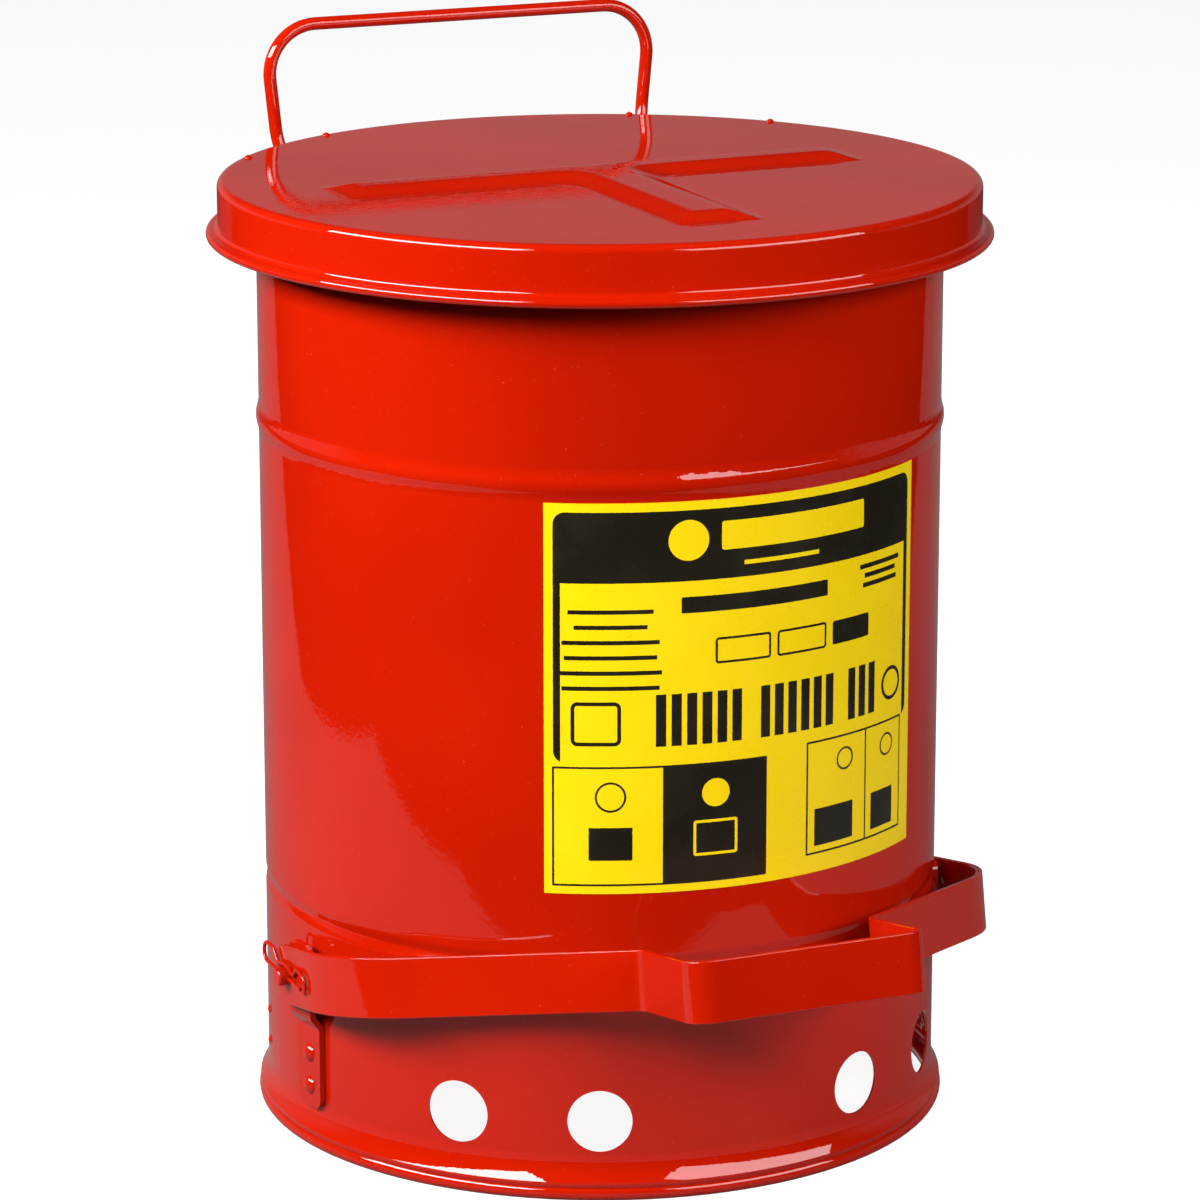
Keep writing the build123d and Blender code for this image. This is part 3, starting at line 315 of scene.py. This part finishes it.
paint = red_enamel()
by_slot = {
    "red_paint": paint,
    "galvanised": galvanised(),
    "sticker": printed_label(),
    "zinc": bare_metal("zinc_plate", (0.72, 0.70, 0.62), 0.26),
    "bare_steel": bare_metal("bar_steel", (0.50, 0.50, 0.52), 0.30, 0.1),
    "bush_plastic": nylon(),
}
slot_of = {row["node"]: row["material_slot"] for row in frame["record"]["subparts"]}
for name, piece in nodes.items():
    piece.data.materials.clear()
    piece.data.materials.append(by_slot[slot_of[name]])
SHAFT_PAINT_INSET = 6.0 * MM
painted_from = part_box("body_shell")[1].x - SHAFT_PAINT_INSET
nodes["pedal_shaft"].data.materials[0] = shaft_steel(painted_from)

# ---------------------------------------------------------------- pressed lid
LID_TOP = 405.8 * MM
LID_R = 162.1 * MM
LID_SKIN = 1.0 * MM
LID_EDGE = 3.2 * MM         # rounding of the top edge
LIP_ROLL = 2.0 * MM
LIP_COVE = 2.2 * MM         # hollow between the skirt and the rolled lip
RIB_HEIGHT = 3.2 * MM
RIB_EASE = 4.0 * MM         # how far outside its outline the rib's flank starts
RIB_SLOPE = 9.4 * MM        # how far inside its outline it reaches its full height
RIB_BLEND = 17.0 * MM       # rounding where the stem meets the arms
ARM_Y = 3.5 * MM
ARM_HALF = Vector((115.5, 13.0)) * MM
STEM_HALF_WIDTH = 15.8 * MM
STEM_END = -118.0 * MM
LID_STEPS = 540             # columns round the lid
LID_RING = 1.6 * MM         # spacing of the rings on its flat top


def box_distance(x, y, centre_y, half_x, half_y):
    """Distance to a rectangle in plan, negative inside."""
    dx, dy = abs(x) - half_x, abs(y - centre_y) - half_y
    return hypot(max(dx, 0.0), max(dy, 0.0)) + min(max(dx, dy), 0.0)


def rib_rise(x, y):
    """Height of the pressed T above the lid's flat top."""
    arm = box_distance(x, y, ARM_Y, ARM_HALF.x, ARM_HALF.y)
    stem = box_distance(x, y, (STEM_END + ARM_Y) / 2, STEM_HALF_WIDTH, (ARM_Y - STEM_END) / 2)
    overlap = max(RIB_BLEND - abs(arm - stem), 0.0) / RIB_BLEND
    distance = min(arm, stem) - overlap * overlap * RIB_BLEND / 4
    t = min(max((RIB_EASE - distance) / (RIB_EASE + RIB_SLOPE), 0.0), 1.0)
    return RIB_HEIGHT * t * t * (3.0 - 2.0 * t)


def arc(centre_r, centre_z, radius, start_deg, end_deg, steps):
    """Points of an arc in the lid's section."""
    for i in range(steps + 1):
        a = radians(start_deg + (end_deg - start_deg) * i / steps)
        yield centre_r + radius * cos(a), centre_z + radius * sin(a)


def pressed_lid():
    """One closed skin: ribbed top, rounded edge, skirt, rolled lip and the inside."""
    top, low = LID_TOP, lid_low.z
    flat = LID_R - LID_EDGE
    rings = int(flat / LID_RING)
    outer = [(flat * i / rings, top) for i in range(1, rings)]
    outer += arc(flat, top - LID_EDGE, LID_EDGE, 90, 0, 9)
    roll_r = lid_high.x - LIP_ROLL
    outer += arc(LID_R + LIP_COVE, low + 2 * LIP_ROLL + LIP_COVE, LIP_COVE, 180, 270, 6)
    outer += arc(roll_r, low + LIP_ROLL, LIP_ROLL, 90, -90, 12)
    inner_r = LID_R - LID_SKIN
    outer += [(LID_R, low), (inner_r + 0.3 * MM, low + 0.1 * MM), (inner_r, low + 0.5 * MM)]
    outer += arc(flat, top - LID_EDGE, LID_EDGE - LID_SKIN, 0, 90, 6)
    outer += [(flat * i / rings, top - LID_SKIN) for i in range(rings - 1, 0, -1)]

    verts, faces = [(0.0, 0.0, top)], []
    for r, z in outer:
        for k in range(LID_STEPS):
            a = 2 * pi * k / LID_STEPS
            x, y = r * cos(a), r * sin(a)
            on_top = z > top - 1.01 * LID_SKIN and r <= flat
            verts.append((x, y, z + (rib_rise(x, y) if on_top else 0.0)))
    last = len(verts)
    verts.append((0.0, 0.0, top - LID_SKIN))
    verts[0] = (0.0, 0.0, top + rib_rise(0, 0))
    verts[last] = (0.0, 0.0, top - LID_SKIN + rib_rise(0, 0))
    for k in range(LID_STEPS):
        n = (k + 1) % LID_STEPS
        faces.append((0, 1 + k, 1 + n))
        for row in range(len(outer) - 1):
            a, b = 1 + row * LID_STEPS, 1 + (row + 1) * LID_STEPS
            faces.append((a + k, b + k, b + n, a + n))
        a = 1 + (len(outer) - 1) * LID_STEPS
        faces.append((a + n, a + k, last))
    mesh = bpy.data.meshes.new("pressed_lid")
    mesh.from_pydata(verts, [], faces)
    mesh.validate()
    mesh.shade_smooth()
    piece = bpy.data.objects.new("pressed_lid", mesh)
    bpy.context.scene.collection.objects.link(piece)
    piece.data.materials.append(paint)
    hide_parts("lid_shell")
    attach(piece, "lid")


pressed_lid()

# ---------------------------------------------------------------- studio
CAMERA_DISTANCE = 2.2287
CAMERA_HEIGHT = 0.7965
CAMERA_AZIMUTH = radians(24.0)
CAMERA_PITCH = radians(14.51)
FRAME_PIXELS = 1200
FOCAL_PIXELS = 5324
SENSOR_MM = 36.0
FLOOR_SIZE = 8.0
TABLE_FRONT = 0.43          # the lit table: its front edge, half width and clipped front corners
TABLE_HALF = 0.76
TABLE_CORNER = 0.40
TABLE_CORNER_SLOPE = 0.64
TABLE_SIDE_START = 0.30     # behind this line its sides spread
TABLE_SIDE_SLOPE = 0.55
TABLE_EDGE = 0.015          # half width of its soft edge
TABLE_NEAR, TABLE_FAR = 0.19, 0.15
BEYOND_TABLE = 0.004
BASE_R = 0.142              # floor under the hollow base
BASE_GLOW = 0.55
FLOOR_GLOW = 0.90
LIGHT_DISTANCE = 2.0
AIM = Vector((0, 0, 0.3))


def pale_floor():
    """White sweep. Only a table's width of it lights the can; to the lens it is white all over."""
    g = Graph("pale_floor")
    x, y = g.xyz()[0:2]
    across = g.math("ABSOLUTE", x)

    def past(value, start, slope):
        """Minus the slope times the part of the value beyond the start."""
        return g.math("MULTIPLY", g.math("MAXIMUM", g.math("SUBTRACT", value, start), 0.0), -slope)

    corner = past(across, TABLE_CORNER, TABLE_CORNER_SLOPE)
    front = g.ramp(g.math("ADD", y, corner), -TABLE_FRONT - TABLE_EDGE, -TABLE_FRONT + TABLE_EDGE)
    spread = past(y, TABLE_SIDE_START, TABLE_SIDE_SLOPE)
    side = g.ramp(g.math("ADD", across, spread), TABLE_HALF - TABLE_EDGE, TABLE_HALF + TABLE_EDGE, 1.0, 0.0)
    table = g.math("MULTIPLY", front, side)
    tree = g.tree
    bounce = tree.nodes.new("ShaderNodeBsdfDiffuse")
    albedo = g.math("MULTIPLY", table, g.ramp(y, 0.0, 0.35, TABLE_NEAR, TABLE_FAR))
    g.link(g.math("MAXIMUM", albedo, BEYOND_TABLE), bounce.inputs["Color"])
    reach = g.math("SQRT", g.math("ADD", g.math("MULTIPLY", x, x), g.math("MULTIPLY", y, y)))
    under = tree.nodes.new("ShaderNodeEmission")
    g.link(g.math("MULTIPLY", g.math("LESS_THAN", reach, BASE_R), BASE_GLOW), under.inputs["Strength"])
    lit = tree.nodes.new("ShaderNodeAddShader")
    g.link(bounce.outputs[0], lit.inputs[0])
    g.link(under.outputs[0], lit.inputs[1])
    s = g.shader
    g.link(g.mix(g.noise(4.0, 2.0), grey(0.28), grey(0.30)), s.inputs["Base Color"])
    s.inputs["Roughness"].default_value = 0.9
    s.inputs["Specular IOR Level"].default_value = 0.0
    s.inputs["Emission Color"].default_value = grey(1.0)
    s.inputs["Emission Strength"].default_value = FLOOR_GLOW
    path = tree.nodes.new("ShaderNodeLightPath")
    choose = tree.nodes.new("ShaderNodeMixShader")
    g.link(path.outputs["Is Camera Ray"], choose.inputs[0])
    g.link(lit.outputs[0], choose.inputs[1])
    g.link(s.outputs[0], choose.inputs[2])
    g.link(choose.outputs[0], tree.nodes["Material Output"].inputs["Surface"])
    return g.material


bpy.ops.mesh.primitive_plane_add(size=FLOOR_SIZE, location=(0, 0, 0))
floor = bpy.context.object
floor.name = "floor"
floor.rotation_euler.z = -CAMERA_AZIMUTH
floor.data.materials.append(pale_floor())


def seen_from(distance, azimuth_deg, height):
    """A point that far from the can's axis; azimuth 0 is the camera's side, positive to its right."""
    a = -CAMERA_AZIMUTH + radians(azimuth_deg)
    return Vector((distance * sin(a), -distance * cos(a), height))


def softbox(name, azimuth_deg, elevation_deg, size, radiance):
    """A rectangular light two metres from the can, facing it."""
    elevation = radians(elevation_deg)
    height = AIM.z + LIGHT_DISTANCE * sin(elevation)
    place = seen_from(LIGHT_DISTANCE * cos(elevation), azimuth_deg, height)
    light = bpy.data.lights.new(name, "AREA")
    light.shape = "RECTANGLE"
    light.size, light.size_y = size
    light.energy = radiance * pi * size[0] * size[1]
    holder = bpy.data.objects.new(name, light)
    bpy.context.scene.collection.objects.link(holder)
    holder.location = place
    holder.rotation_euler = (AIM - place).to_track_quat("-Z", "Y").to_euler()
    holder.visible_camera = False
    return holder


softbox("key_left", -56, 31, (2.3, 0.60), 23.5)
softbox("key_right", 54, 23, (2.1, 0.83), 7.0)
rear_fill = softbox("rear_fill", 180, 18, (2.4, 0.8), 4.4)
rear_fill.visible_glossy = False


def studio_world():
    """White to the lens; as a light, pale low down behind the can and dark elsewhere."""
    world = bpy.data.worlds.new("studio")
    bpy.context.scene.world = world
    world.use_nodes = True
    tree = world.node_tree

    def node(kind, operation=None):
        made = tree.nodes.new(kind)
        if operation:
            made.operation = operation
        return made

    def map_range(source, low, high, out_low, out_high):
        made = node("ShaderNodeMapRange")
        made.inputs["From Min"].default_value = low
        made.inputs["From Max"].default_value = high
        made.inputs["To Min"].default_value = out_low
        made.inputs["To Max"].default_value = out_high
        tree.links.new(source, made.inputs["Value"])
        return made.outputs["Result"]

    direction = node("ShaderNodeTexCoord").outputs["Generated"]
    away = node("ShaderNodeVectorMath", "DOT_PRODUCT")
    away.inputs[1].default_value = (sin(CAMERA_AZIMUTH), cos(CAMERA_AZIMUTH), 0.0)
    tree.links.new(direction, away.inputs[0])
    split = node("ShaderNodeSeparateXYZ")
    tree.links.new(direction, split.inputs[0])
    glow = node("ShaderNodeMath", "MULTIPLY")
    tree.links.new(map_range(away.outputs["Value"], -0.10, 0.20, 0.0, 1.0), glow.inputs[0])
    tree.links.new(map_range(split.outputs["Z"], 0.15, 0.32, 0.215, 0.01), glow.inputs[1])
    strength = node("ShaderNodeMix")
    tree.links.new(node("ShaderNodeLightPath").outputs["Is Camera Ray"], strength.inputs[0])
    tree.links.new(glow.outputs[0], strength.inputs[2])
    strength.inputs[3].default_value = 1.0
    backdrop = tree.nodes["Background"]
    backdrop.inputs["Color"].default_value = grey(1.0)
    tree.links.new(strength.outputs[0], backdrop.inputs["Strength"])


studio_world()

camera_data = bpy.data.cameras.new("camera")
camera = bpy.data.objects.new("camera", camera_data)
bpy.context.scene.collection.objects.link(camera)
camera.location = seen_from(CAMERA_DISTANCE, 0, CAMERA_HEIGHT)
camera.rotation_euler = (pi / 2 - CAMERA_PITCH, 0, -CAMERA_AZIMUTH)
camera_data.sensor_width = SENSOR_MM
camera_data.lens = FOCAL_PIXELS / FRAME_PIXELS * SENSOR_MM
camera_data.clip_start = 0.05
camera_data.clip_end = 50
bpy.context.scene.camera = camera

bpy.context.scene.view_settings.view_transform = "Standard"
bpy.context.scene.view_settings.look = "None"
